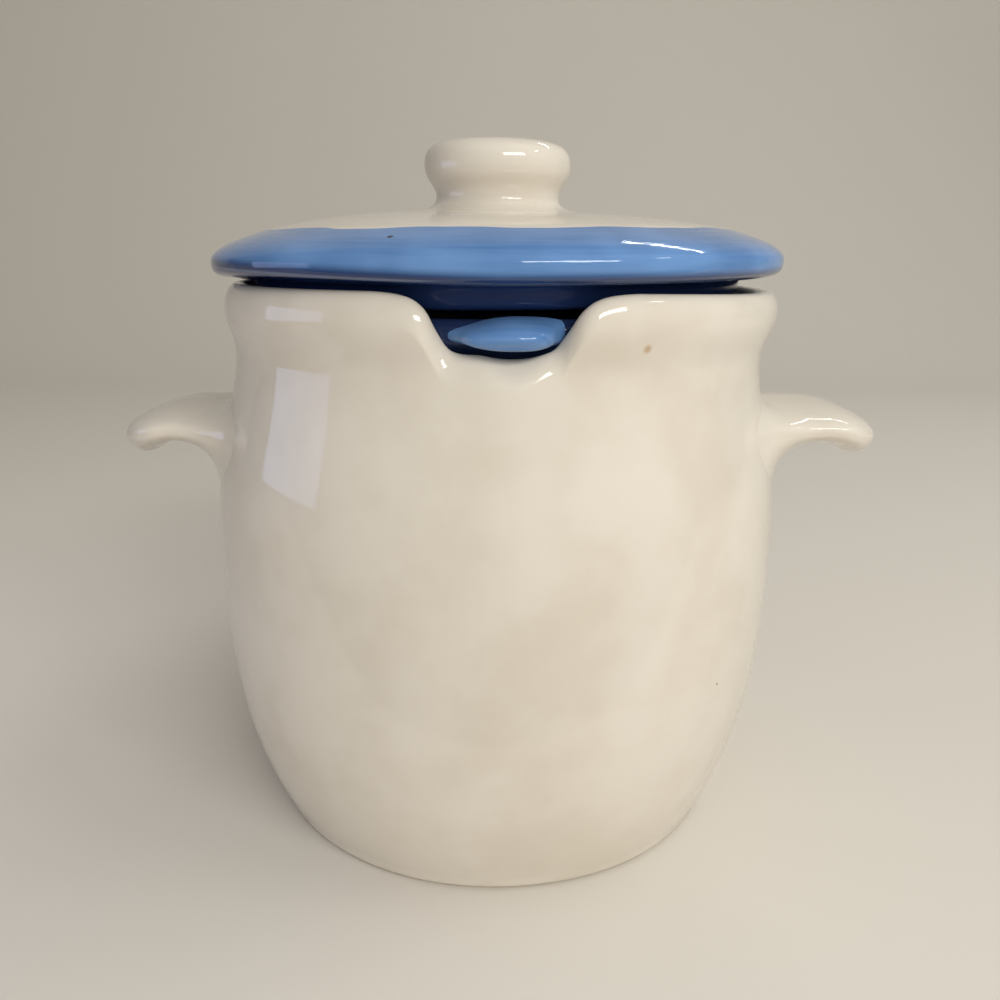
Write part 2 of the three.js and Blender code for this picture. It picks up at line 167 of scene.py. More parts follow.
def arc(centreRadius, centreHeight, width, height, fromAngle, toAngle, steps):
    # Points of a stretch of an ellipse, without its first point
    points = []
    for i in range(1, steps + 1):
        angle = math.radians(blendOf(fromAngle, toAngle, i / steps))
        points.append((centreRadius + width * math.cos(angle), centreHeight + height * math.sin(angle)))
    return points


def rows(low, high, steps):
    # Heights from low up to high, without low itself
    return [blendOf(low, high, (i + 1) / steps) for i in range(steps)]


def curve(start, pullOut, pullIn, end, steps):
    # Points of a Bezier stretch of a profile, without its first point
    points = []
    for i in range(1, steps + 1):
        t = i / steps
        weights = ((1 - t) ** 3, 3 * t * (1 - t) ** 2, 3 * t ** 2 * (1 - t), t ** 3)
        points.append(tuple(sum(w * p[axis] for w, p in zip(weights, (start, pullOut, pullIn, end)))
                            for axis in (0, 1)))
    return points


def handWobble(piece, sizes):
    # Cast and sponged ware is never quite true, and its reflections show it
    depth, size = sizes["wobble"], sizes["wobbleSize"]
    for vertex in piece.data.vertices:
        out = Vector((vertex.co.x, vertex.co.y, 0))
        if out.length > size * mm / 4:
            push = noise.noise(vertex.co / (size * mm)) * depth * mm
            vertex.co += out.normalized() * push


# Materials
def linear(colour):
    channels = [int(colour[i:i + 2], 16) / 255 for i in (1, 3, 5)]
    linearOnes = [c / 12.92 if c <= 0.04045 else ((c + 0.055) / 1.055) ** 2.4 for c in channels]
    return (*linearOnes, 1)


def addNode(tree, kind, place, settings, inputs, output=0):
    # Sets the node's settings, links or sets its inputs, and gives one output, or the node itself for None
    node = tree.nodes.new("ShaderNode" + kind)
    node.location = place
    for key, value in settings.items():
        setattr(node, key, value)
    for key, value in inputs.items():
        if isinstance(value, bpy.types.NodeSocket):
            tree.links.new(value, node.inputs[key])
        else:
            node.inputs[key].default_value = value
    return node if output is None else node.outputs[output]


def newMaterial(name):
    material = bpy.data.materials.new(name)
    material.use_nodes = True
    tree = material.node_tree
    return material, tree, tree.nodes["Principled BSDF"]


# Settings that several nodes share. A blended Mix has its share at 0, its colours at 6 and 7 and its result
# at 2. An eased MapRange has its value at 0, the range it comes from at 1 and 2, and at 3 and 4 the one it
# goes to, which is 0 to 1 unless given.
blended = {"data_type": "RGBA", "clamp_factor": True}
eased = {"clamp": True, "interpolation_type": "SMOOTHSTEP"}
multiplied = {"operation": "MULTIPLY"}


def spot(tree, place, here, centre, radius):
    # 1 in a round spot at a place on the piece, both in millimetres
    away = addNode(tree, "VectorMath", place, {"operation": "DISTANCE"},
                   {0: here, 1: [c * mm for c in centre]}, "Value")
    return addNode(tree, "MapRange", (place[0] + 200, place[1]), eased,
                   {0: away, 1: radius * mm, 2: radius * mm * 0.5})


creamGlaze = {
    "colour": "#dcd5c9",
    "pooled": "#d4ccbe",       # where the glaze lies thicker
    "mottleSize": 22,          # millimetres, like the sizes below
    "speck": "#8f7f68",        # iron specks in the clay,
    "speckPitch": 11, "speckSize": 0.42,
    "speckPatch": 14,          # in patches
    "stain": "#b99a74", "stainAt": (29.2, -61.5, 124.2), "stainRadius": 1.7,
    "bisque": "#c6b089",       # bare clay on the foot ring, between these heights
    "bareFrom": 0.2, "bareTo": 0.5,
    "bisqueRoughness": 0.85,
    "roughness": 0.07,
    "ior": 1.52,
    "peelSize": 5, "peelDepth": 0.06, "peelStrength": 0.12,     # the glaze's soft unevenness
}


def creamColour(tree, here):
    # The cream itself, with its mottle and its iron specks
    g = creamGlaze
    mottle = addNode(tree, "TexNoise", (-1200, 200), {},
                     {"Vector": here, "Scale": 1 / (g["mottleSize"] * mm), "Detail": 4})
    thick = addNode(tree, "MapRange", (-1000, 200), eased, {0: mottle, 1: 0.35, 2: 0.7})
    colour = addNode(tree, "Mix", (-700, 200), blended,
                     {0: thick, 6: linear(g["colour"]), 7: linear(g["pooled"])}, 2)
    cell = addNode(tree, "TexVoronoi", (-1200, -100), {"feature": "F1"},
                   {"Vector": here, "Scale": 1 / (g["speckPitch"] * mm), "Randomness": 1}, "Distance")
    size = g["speckSize"] / g["speckPitch"]
    dots = addNode(tree, "MapRange", (-1000, -100), eased, {0: cell, 1: size, 2: size * 0.5})
    patches = addNode(tree, "TexNoise", (-1200, -300), {},
                      {"Vector": here, "Scale": 1 / (g["speckPatch"] * mm), "Detail": 0})
    sparse = addNode(tree, "MapRange", (-1000, -300), eased, {0: patches, 1: 0.56, 2: 0.6})
    dark = addNode(tree, "Math", (-800, -200), multiplied, {0: dots, 1: sparse})
    return addNode(tree, "Mix", (-500, 200), blended, {0: dark, 6: colour, 7: linear(g["speck"])}, 2)


def glazedEarthenware(name, withFoot=False):
    # Clear high-gloss glaze over a cream cast body: sharp highlights, faint mottle, a few iron specks.
    # The body of the jar also has its bare foot ring and a small brown stain.
    g = creamGlaze
    material, tree, shader = newMaterial(name)
    here = addNode(tree, "TexCoord", (-1400, 0), {}, {}, "Object")
    colour = creamColour(tree, here)
    if withFoot:
        stain = spot(tree, (-1200, -500), here, g["stainAt"], g["stainRadius"])
        colour = addNode(tree, "Mix", (-400, 0), blended, {0: stain, 6: colour, 7: linear(g["stain"])}, 2)
        height = addNode(tree, "SeparateXYZ", (-1200, -700), {}, {0: here}, 2)
        bare = addNode(tree, "MapRange", (-1000, -700), eased,
                       {0: height, 1: g["bareTo"] * mm, 2: g["bareFrom"] * mm})
        colour = addNode(tree, "Mix", (-300, 200), blended, {0: bare, 6: colour, 7: linear(g["bisque"])}, 2)
        rough = addNode(tree, "MapRange", (-300, -100), eased,
                        {0: bare, 3: g["roughness"], 4: g["bisqueRoughness"]})
        tree.links.new(rough, shader.inputs["Roughness"])
    else:
        shader.inputs["Roughness"].default_value = g["roughness"]
    tree.links.new(colour, shader.inputs["Base Color"])
    shader.inputs["IOR"].default_value = g["ior"]
    peel = addNode(tree, "TexNoise", (-700, -400), {},
                   {"Vector": here, "Scale": 1 / (g["peelSize"] * mm), "Detail": 1})
    bump = addNode(tree, "Bump", (-300, -400), {},
                   {"Height": peel, "Strength": g["peelStrength"], "Distance": g["peelDepth"] * mm})
    tree.links.new(bump, shader.inputs["Normal"])
    return material


blueGlaze = {
    "colour": "#6690c6",
    "thick": "#527bb0",        # where the brush left more
    "thin": "#86a6d2",         # between two strokes
    "pooledAndShaded": "#1b2c5c",         # where it pooled, and painted shade, on the lid's lower brim and the tab's underside
    "paintedDishShade": "#121b3d",      # painted shade on the strainer's dish, which lies in the jar's shadow
    "pooledAndShadedShare": 0.95,         # how much of that covers the rest
    "cloudSize": 18,           # of the thicker parts, millimetres
    "strokeWidth": 1.6, "strokeLength": 26,
    "strokeRadius": 65,        # the strokes have this length here, and shorten inwards
    "streaks": 0.2,            # how strongly the strokes show,
    "strokeDepth": 0.08, "strokeStrength": 0.25,    # and how deep they are
    "roughness": 0.06,
    "ior": 1.52,
}


def brushedGlaze(name, pooledAndShadedBelow, pooledAndShadedOver=4, pooledAndShadedColour="pooledAndShaded", upright=(0, 0, 1), paintedDome=False):
    # Cobalt glaze laid on by brush round the turning piece: streaks along the strokes, gloss over all,
    # and darker below a height in millimetres: painted shade, and on the lid also glaze that ran together
    # thickly
    g = blueGlaze
    material, tree, shader = newMaterial(name)
    here = addNode(tree, "TexCoord", (-1800, 0), {}, {}, "Object")
    x, y, z = addNode(tree, "SeparateXYZ", (-1600, 0), {}, {0: here}, None).outputs
    flat = addNode(tree, "CombineXYZ", (-1400, -200), {}, {0: x, 1: y})
    out = addNode(tree, "VectorMath", (-1200, -200), {"operation": "LENGTH"}, {0: flat}, "Value")
    spoke = addNode(tree, "VectorMath", (-1200, 200), {"operation": "NORMALIZE"}, {0: flat})
    drawnOut = g["strokeRadius"] * mm * g["strokeWidth"] / g["strokeLength"]
    run = addNode(tree, "VectorMath", (-1000, 200), {"operation": "SCALE"}, {0: spoke, "Scale": drawnOut})
    over = addNode(tree, "Math", (-1000, -200), {"operation": "SUBTRACT"}, {0: z, 1: out})
    lift = addNode(tree, "CombineXYZ", (-900, 0), {}, {2: over})
    along = addNode(tree, "VectorMath", (-850, 100), {"operation": "ADD"}, {0: run, 1: lift})
    streaks = addNode(tree, "TexNoise", (-800, 0), {},
                      {"Vector": along, "Scale": 1 / (g["strokeWidth"] * mm), "Detail": 3})
    strokes = addNode(tree, "MapRange", (-600, 0), eased, {0: streaks, 1: 0.3, 2: 0.7})
    clouds = addNode(tree, "TexNoise", (-800, 300), {},
                     {"Vector": here, "Scale": 1 / (g["cloudSize"] * mm), "Detail": 2})
    thick = addNode(tree, "MapRange", (-600, 300), eased, {0: clouds, 1: 0.3, 2: 0.7})
    colour = addNode(tree, "Mix", (-400, 200), blended,
                     {0: thick, 6: linear(g["colour"]), 7: linear(g["thick"])}, 2)
    thin = addNode(tree, "Math", (-400, 0), multiplied, {0: strokes, 1: g["streaks"]})
    colour = addNode(tree, "Mix", (-200, 200), blended, {0: thin, 6: colour, 7: linear(g["thin"])}, 2)
    level = addNode(tree, "VectorMath", (-600, -200), {"operation": "DOT_PRODUCT"},
                    {0: here, 1: upright}, "Value")
    # On the lid the painted shade and the painted rim reflection rise to the left
    if paintedDome:
        left = addNode(tree, "Math", (-600, -300), {"operation": "MINIMUM"}, {0: x, 1: 0})
        level = addNode(tree, "Math", (-500, -300), {"operation": "MULTIPLY_ADD"},
                        {0: left, 1: lidGlaze["shadeAndReflectionLean"], 2: level})
    # Painted shade below the given height, with pooled glaze on the lid's brim
    pooledAndShadedFrom, pooledAndShadedTo = pooledAndShadedBelow + pooledAndShadedOver / 2, pooledAndShadedBelow - pooledAndShadedOver / 2
    pooledAndShadedMask = addNode(tree, "MapRange", (-400, -200), eased,
                   {0: level, 1: pooledAndShadedFrom * mm, 2: pooledAndShadedTo * mm, 4: g["pooledAndShadedShare"]})
    colour = addNode(tree, "Mix", (-100, 200), blended, {0: pooledAndShadedMask, 6: colour, 7: linear(g[pooledAndShadedColour])}, 2)
    if paintedDome:
        colour = paintDome(tree, here, out, z, level, colour)
    tree.links.new(colour, shader.inputs["Base Color"])
    shader.inputs["Roughness"].default_value = g["roughness"]
    shader.inputs["IOR"].default_value = g["ior"]
    bump = addNode(tree, "Bump", (-200, -400), {},
                   {"Height": strokes, "Strength": g["strokeStrength"], "Distance": g["strokeDepth"] * mm})
    tree.links.new(bump, shader.inputs["Normal"])
    return material


lidGlaze = {
    "paintRadius": 57,         # inside this the top of the lid is cream, in millimetres like the rest
    "waverLength": 25, "waverDepth": 5, "paintBlur": 0.25,      # the brush was held by hand
    "creamFrom": 145, "creamTo": 146,       # heights over which that cream comes in
    "worn": "#7f8fae",         # a painted reflection of the rim along the lower edge of the brim: heights where it comes in and goes out
    "wornFrom": 136.25, "wornTo": 136.7,
    "wornShare": 0.35,
    "shadeAndReflectionLean": 0.04,          # the painted reflection at that edge and the painted shade under it rise to the left
    "pinhole": "#1d2430", "pinholeAt": (-20.7, -58.6, 145.4), "pinholeRadius": 0.9,
}


def paintDome(tree, here, out, height, level, colour):
    # Only on the lid: the cream top inside the brushed edge, a painted reflection of the rim along the lower
    # edge of the brim, and a pinhole
    g = lidGlaze
    uneven = addNode(tree, "TexNoise", (-1000, -500), {},
                     {"Vector": here, "Scale": 1 / (g["waverLength"] * mm), "Detail": 2})
    waver = addNode(tree, "Math", (-800, -500), {"operation": "MULTIPLY_ADD"},
                    {0: uneven, 1: g["waverDepth"] * mm, 2: out})
    edge = g["paintRadius"] + g["waverDepth"] / 2
    inside = addNode(tree, "MapRange", (-600, -500), eased,
                     {0: waver, 1: (edge + g["paintBlur"]) * mm, 2: (edge - g["paintBlur"]) * mm})
    top = addNode(tree, "MapRange", (-600, -700), eased,
                  {0: height, 1: g["creamFrom"] * mm, 2: g["creamTo"] * mm})
    share = addNode(tree, "Math", (-400, -500), multiplied, {0: inside, 1: top})
    colour = addNode(tree, "Mix", (0, 200), blended, {0: share, 6: colour, 7: creamColour(tree, here)}, 2)
    # A painted reflection of the rim: a pale line along the lower edge of the brim
    low = addNode(tree, "MapRange", (-600, -1100), eased,
                  {0: level, 1: (g["wornFrom"] - 0.2) * mm, 2: (g["wornFrom"] + 0.1) * mm})
    high = addNode(tree, "MapRange", (-600, -1300), eased,
                   {0: level, 1: (g["wornTo"] + 0.2) * mm, 2: (g["wornTo"] - 0.1) * mm, 4: g["wornShare"]})
    worn = addNode(tree, "Math", (-400, -1200), multiplied, {0: low, 1: high})
    colour = addNode(tree, "Mix", (100, 200), blended, {0: worn, 6: colour, 7: linear(g["worn"])}, 2)
    hole = spot(tree, (-1000, -900), here, g["pinholeAt"], g["pinholeRadius"])
    return addNode(tree, "Mix", (200, 200), blended, {0: hole, 6: colour, 7: linear(g["pinhole"])}, 2)


# Jar body
jarSizes = {
    "footRadius": 58.2, "bellyRadius": 71.6, "bellyHeight": 70, "neckRadius": 65.3, "neckHeight": 118.8,
    "rimRadius": 67.8, "rimHeight": 135.3, "lipHeight": 5.4, "wall": 5.6, "floor": 7, "floorRound": 16,
    "footRingWidth": 7, "footRingRecess": 1.6, "footRound": 2, "lowerCurve": 2.8, "upperCurve": 1.4,
    "seatTop": 126.2,
    "notchDepth": 11.1, "spoutDrop": 2,
    "dipWidth": 15, "dipDepth": 2, "dipOffset": 2.4, "dipRaise": 2, "dipFlat": 0.5,
    "spoutOut": 0.45, "spoutReach": 12, "spoutFrom": 108,    # the wall swells outwards under the dip
    # How far the notch has gone down at a distance from its middle: millimetres and shares, rounded off
    # over twice the blur
    "notchBlur": 0.6,
    "notchFlank": [(7, 1), (9.8, 0.98), (11.6, 0.91), (12.6, 0.82), (13.4, 0.7), (14.6, 0.42), (16.7, 0.21),
                   (18.2, 0.13), (20, 0.07), (23, 0.025), (27, 0)],
    "crowding": 0.5,        # the columns stand closer at the notch
    "leftSag": 0.7, "rightSag": 2.1,    # the rim dried a little lower at its sides,
    "drift": 1.15,                      # and to the right
    "carveFrom": 104,       # the notch presses the wall down from this height
    "columns": 288,
    "wobble": 0.3, "wobbleSize": 38,
}


def outerRadius(height):
    j = jarSizes
    if height <= j["bellyHeight"]:
        down = 1 - max(height, 0) / j["bellyHeight"]
        return j["bellyRadius"] - (j["bellyRadius"] - j["footRadius"]) * down ** j["lowerCurve"]
    if height <= j["neckHeight"]:
        up = ((height - j["bellyHeight"]) / (j["neckHeight"] - j["bellyHeight"])) ** j["upperCurve"]
        return j["neckRadius"] + (j["bellyRadius"] - j["neckRadius"]) * (1 + math.cos(math.pi * up)) / 2
    flareHeight = j["rimHeight"] - j["lipHeight"]
    flare = min((height - j["neckHeight"]) / (flareHeight - j["neckHeight"]), 1)
    return j["neckRadius"] + (j["rimRadius"] - j["neckRadius"]) * (1 - math.cos(math.pi * flare)) / 2


def innerRadius(height):
    j = jarSizes
    if height <= j["neckHeight"]:
        return outerRadius(height) - j["wall"]
    mouth = j["rimRadius"] - j["wall"]
    throat = j["neckRadius"] - j["wall"]
    return min(max(mouth + height - j["seatTop"], throat), mouth)


def jarProfile():
    j = jarSizes
    lipFoot = j["rimHeight"] - j["lipHeight"]
    mouth = j["rimRadius"] - j["wall"]
    lipMiddle = (j["rimRadius"] + mouth) / 2
    ringOuter = outerRadius(j["footRound"]) - j["footRound"]
    ringInner = ringOuter - j["footRingWidth"]
    recess = j["footRingRecess"]
    floorEdge = j["floor"] + j["floorRound"]
    roundCentre = innerRadius(floorEdge) - j["floorRound"]
    seatFoot = j["seatTop"] - (mouth - (j["neckRadius"] - j["wall"]))
    outside = rows(j["footRound"], j["bellyHeight"], 28) + rows(j["bellyHeight"], j["neckHeight"], 24)
    outside += rows(j["neckHeight"], lipFoot, 12)
    inside = [lipFoot - 1.5, j["seatTop"] + 0.4, j["seatTop"], seatFoot, seatFoot - 0.4, j["neckHeight"]]
    inside += rows(j["neckHeight"], floorEdge, 26)
    return [
        (0, recess), (ringInner * 0.5, recess), (ringInner - recess, recess), (ringInner - 0.3, recess * 0.5),
        (ringInner + 0.2, 0), (ringInner + 1, 0), (ringOuter - 0.5, 0),
        *arc(ringOuter, j["footRound"], j["footRound"], j["footRound"], -90, 0, 4),
        *[(outerRadius(height), height) for height in outside],
        *arc(lipMiddle, lipFoot, j["wall"] / 2, j["lipHeight"], 0, 180, 24),
        *[(innerRadius(height), height) for height in inside],
        *arc(roundCentre, floorEdge, j["floorRound"], j["floorRound"], 0, -90, 8),
        (roundCentre * 0.6, j["floor"]), (roundCentre * 0.2, j["floor"]), (0, j["floor"]),
    ]


def flankShare(away):
    flank = jarSizes["notchFlank"]
    if away <= flank[0][0]:
        return 1
    for (low, high), (nextLow, nextHigh) in zip(flank, flank[1:]):
        if away < nextLow:
            return blendOf(high, nextHigh, (away - low) / (nextLow - low))
    return 0


def crowdColumns(piece):
    # Draws the columns of the mesh towards the front, where the notch needs them
    for vertex in piece.data.vertices:
        angle = math.atan2(vertex.co.x, -vertex.co.y)
        angle -= jarSizes["crowding"] * math.sin(angle)
        radius = math.hypot(vertex.co.x, vertex.co.y)
        vertex.co.x, vertex.co.y = radius * math.sin(angle), -radius * math.cos(angle)


def carveNotch(piece):
    # Presses the front of the rim down into a notch, with a pouring dip in its floor
    j = jarSizes
    lipFoot = j["rimHeight"] - j["lipHeight"]
    mouth = j["rimRadius"] - j["wall"]
    for vertex in piece.data.vertices:
        radius = math.hypot(vertex.co.x, vertex.co.y) / mm
        height = vertex.co.z / mm
        angle = math.atan2(vertex.co.x, -vertex.co.y)
        along = angle * j["rimRadius"]
        if height < j["carveFrom"] or abs(along) > j["notchFlank"][-1][0] + 1 or radius < mouth / 2:
            continue
        share = sum(flankShare(abs(along + k * j["notchBlur"])) for k in (-2, -1, 0, 1, 2)) / 5
        fromDip = abs(along - j["dipOffset"])
        away = min(fromDip / (j["dipWidth"] / 2), 1)
        hollow = (1 - away ** 2) ** 2
        drop = j["notchDepth"] * share - j["dipRaise"] * hollow
        dip = j["spoutDrop"] * share ** 2 + j["dipDepth"] * hollow
        innerFoot = lipFoot - drop
        outerFoot = innerFoot - dip
        near = min(fromDip / j["spoutReach"], 1)
        swell = j["spoutOut"] * (1 - near ** 2) ** 2
        if height > lipFoot - 0.01:
            inward = (j["rimRadius"] - radius) / j["wall"]
            mouthHere = innerRadius(innerFoot + j["lipHeight"] / 2)
            newRadius = blendOf(outerRadius(outerFoot) + swell, mouthHere, inward)
            lip = (height - lipFoot) * (1 - j["dipFlat"] * hollow)
            newHeight = lipFoot + lip - drop - dip * (1 - smooth(inward))
        else:
            isOutside = radius > (outerRadius(height) + innerRadius(height)) / 2
            foot = outerFoot if isOutside else innerFoot
            squeeze = (foot - j["carveFrom"]) / (lipFoot - j["carveFrom"])
            newHeight = j["carveFrom"] + (height - j["carveFrom"]) * squeeze
            rise = smooth((newHeight - j["spoutFrom"]) / (outerFoot - j["spoutFrom"]))
            newRadius = outerRadius(newHeight) + swell * rise if isOutside else innerRadius(newHeight)
        vertex.co = Vector((math.sin(angle) * newRadius, -math.cos(angle) * newRadius, newHeight)) * mm


def sagRim(piece):
    # Lets the sides of the rim down, more to the right than to the left, and lets it drift over
    j = jarSizes
    for vertex in piece.data.vertices:
        lift = (vertex.co.z / mm - j["carveFrom"]) / (j["rimHeight"] - j["carveFrom"])
        side = vertex.co.x / mm / j["rimRadius"]
        sag = j["rightSag"] if side > 0 else j["leftSag"]
        vertex.co.z -= sag * side ** 2 * max(lift, 0) * mm
        vertex.co.x += j["drift"] * max(lift, 0) ** 2 * mm


def makeJar():
    pot = throwPiece("jarBody", jarSizes["columns"], jarProfile())
    crowdColumns(pot)
    carveNotch(pot)
    sagRim(pot)
    handWobble(pot, jarSizes)
    smoothPiece(pot, 0)
    pot.data.materials.append(glazedEarthenware("glazedEarthenwareJar", withFoot=True))
    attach(pot, "jar")
    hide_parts("jar_body")


makeJar()
print("jar thrown and notched")


# Lugs
lugSizes = {
    "width": 44, "thickness": 9, "tipDrop": 6.9, "tipLength": 12, "curlLength": 15, "squareness": 0.8,
    "tipSwell": 0.5,        # added to half its thickness at the tip
    "topFillet": 3.2, "underFillet": 14, "underRun": 10.5, "sideFillet": 13, "sideRun": 14,
    "sink": 0.35,           # of its edge into the wall
    "poleDepth": 3, "poleDrop": 6,      # where the root's pole hides inside the wall
    "rootShare": 0.4,       # share of the rings that go into the fillets at the wall
    "segments": 64, "rings": 56,
}
lugPlaces = {
    "rightLug": {"node": "right_lug", "side": 1, "reach": 96, "top": 105.2},
    "leftLug": {"node": "left_lug", "side": -1, "reach": 93.8, "top": 104.4},
}


def bulged(value, power):
    return math.copysign(abs(value) ** power, value)


def lugPoint(place, share, angle):
    # A point of the lug's skin: share runs from its root in the wall to its tip, angle round its section
    s = lugSizes
    across, over = bulged(math.cos(angle), s["squareness"]), bulged(math.sin(angle), s["squareness"])
    middle = place["top"] - s["thickness"] / 2
    edge = abs(across) ** 3
    upright, run = (s["topFillet"], s["topFillet"]) if over > 0 else (s["underFillet"], s["underRun"])
    run = blendOf(run, s["sideRun"], edge)
    rooted = min(share / s["rootShare"], 1)
    phase = quarter * rooted
    flare = 1 - math.sin(phase)
    sideways = across * s["width"] / 2 + math.copysign(edge, across) * s["sideFillet"] * flare
    height = middle + over * (s["thickness"] / 2 + upright * flare)
    wallOut = math.sqrt(max(outerRadius(height) ** 2 - sideways ** 2, 0))
    sink = s["sink"] * (1 - smooth(rooted * 4))
    out = wallOut - sink + run * (1 - math.cos(phase))
    if share > s["rootShare"]:
        onward = (share - s["rootShare"]) / (1 - s["rootShare"])
        out = blendOf(out, place["reach"], math.sin(quarter * onward))
        tip = clamped((out - place["reach"] + s["tipLength"]) / s["tipLength"])
        end = clamped((out - place["reach"] + s["thickness"] / 2) / (s["thickness"] / 2))
        curl = max((out - place["reach"] + s["curlLength"]) / s["curlLength"], 0)
        sideways = across * s["width"] / 2 * math.sqrt(1 - tip ** 2)
        lean = 2 * s["tipDrop"] * curl / s["curlLength"]
        swollen = s["thickness"] / 2 + s["tipSwell"] * curl
        rise = over * swollen * math.sqrt(1 - end ** 2) / math.hypot(1, lean)
        height = middle - s["tipDrop"] * curl ** 2 + rise
        out += rise * lean
    return Vector((out * place["side"], sideways, height))


def makeLug(name):
    place, s = lugPlaces[name], lugSizes
    rootOut = outerRadius(place["top"]) - s["poleDepth"]
    tipHeight = place["top"] - s["thickness"] / 2 - s["tipDrop"]
    lug = startSkin(name, s)
    for vertex in lug.data.vertices:
        share, angle = placeOnBall(vertex)
        if share < 0.001:
            point = Vector((place["side"] * rootOut, 0, place["top"] - s["poleDrop"]))
        elif share > 0.999:
            point = Vector((place["side"] * place["reach"], 0, tipHeight))
        else:
            point = lugPoint(place, share, angle)
        vertex.co = point * mm
    turnFacesOut()
    handWobble(lug, jarSizes)       # as the wall that it stands on
    smoothPiece(lug, 1)
    lug.data.materials.append(glazedEarthenware("glazedEarthenwareLug"))
    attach(lug, "jar")
    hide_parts(place["node"])


for lugName in lugPlaces:
    makeLug(lugName)
print("lugs luted on")


# Strainer: a dish with a rolled ring and a perforated floor, and its thumb tab
strainerSizes = {
    "ringRadius": 61.2, "ringTop": 129.9, "ringWidth": 5.2, "seatTop": 126.2, "seatFoot": 123.7,
    "dishRadius": 58.7, "dishDepth": 24, "dishThickness": 4.2, "dishRound": 15, "overSeat": -0.58,
    "holeDiameter": 4.8, "holePitch": 11, "turn": 2.4, "columns": 160,
    "pooledAndShadedBelow": 140,       # painted shade: the glaze is darkened below this height, which is all of it
}


def dishProfile():
    d = strainerSizes
    foot = d["ringTop"] - d["dishDepth"]
    roll = d["ringWidth"] / 2
    innerWall = d["dishRadius"] - d["dishThickness"]
    innerRound = d["dishRound"] - d["dishThickness"]
    floorTop = foot + d["dishThickness"]
    flat = d["dishRadius"] - d["dishRound"]
    wallTop = d["seatFoot"] + d["overSeat"]
    ringFoot = d["seatTop"] + d["overSeat"]
    return [
        (0, foot), (flat * 0.5, foot), (flat * 0.95, foot),
        *arc(flat, foot + d["dishRound"], d["dishRound"], d["dishRound"], -90, 0, 10),
        (d["dishRadius"], wallTop - 0.5), (d["dishRadius"], wallTop),
        (d["ringRadius"], ringFoot), (d["ringRadius"], ringFoot + 0.5),
        (d["ringRadius"], d["ringTop"] - roll),
        *arc(d["ringRadius"] - roll, d["ringTop"] - roll, roll, roll, 0, 180, 12),
        (innerWall + 0.6, d["ringTop"] - roll - 1.5), (innerWall, d["seatFoot"]),
        (innerWall, floorTop + innerRound),
        *arc(innerWall - innerRound, floorTop + innerRound, innerRound, innerRound, 0, -90, 8),
        ((innerWall - innerRound) * 0.5, floorTop), (0, floorTop),
    ]


def makeDish():
    d = strainerSizes
    dish = throwPiece("strainerDish", d["columns"], dishProfile())
    floorMiddle = d["ringTop"] - d["dishDepth"] + d["dishThickness"] / 2
    bpy.ops.object.select_all(action="DESELECT")
    drills = []
    for ring in range(int((d["dishRadius"] - d["dishRound"]) / d["holePitch"]) + 1):
        out = ring * d["holePitch"]
        holes = max(6 * ring, 1)
        for k in range(holes):
            angle = 2 * math.pi * k / holes + math.radians(d["turn"])
            place = (out * math.sin(angle), -out * math.cos(angle), floorMiddle)
            bpy.ops.mesh.primitive_cylinder_add(
                vertices=24, radius=d["holeDiameter"] / 2 * mm, depth=3 * d["dishThickness"] * mm,
                location=[c * mm for c in place])
            drills.append(bpy.context.object)
    for drill in drills:
        drill.select_set(True)
    bpy.ops.object.join()
    drill = bpy.context.object
    cut = dish.modifiers.new("holes", "BOOLEAN")
    cut.operation, cut.solver, cut.object = "DIFFERENCE", "EXACT", drill
    bpy.ops.object.select_all(action="DESELECT")
    bpy.context.view_layer.objects.active = dish
    bpy.ops.object.modifier_apply(modifier=cut.name)
    bpy.data.objects.remove(drill)
    smoothPiece(dish, 0)
    # The dish is darkened all over with painted shade
    dish.data.materials.append(brushedGlaze("brushedBlueGlazeDish", d["pooledAndShadedBelow"], pooledAndShadedColour="paintedDishShade"))
    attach(dish, "strainer")
    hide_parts("strainer_dish")


tabSizes = {
    "reach": 7.4, "thickness": 6.3, "width": 17, "droop": 1.1, "middle": 127.45, "squareness": 0.72,
    "flare": 3.2, "rootShare": 0.35, "segments": 64, "rings": 48,
    "leftStretch": 1.32, "rightStretch": 1.1,   # it tapers along the ring, further to the left
    "leftEnd": 12.5, "leftThin": 0.38, "leftDrop": 0.5,
    "grooveDepth": 0.8, "grooveHeight": -1, "grooveWidth": 0.9, "grooveLength": 6,   # under its end
    "pooledAndShadedBelow": 124,       # painted shade: the glaze darkens below this height, towards the tab's underside
}


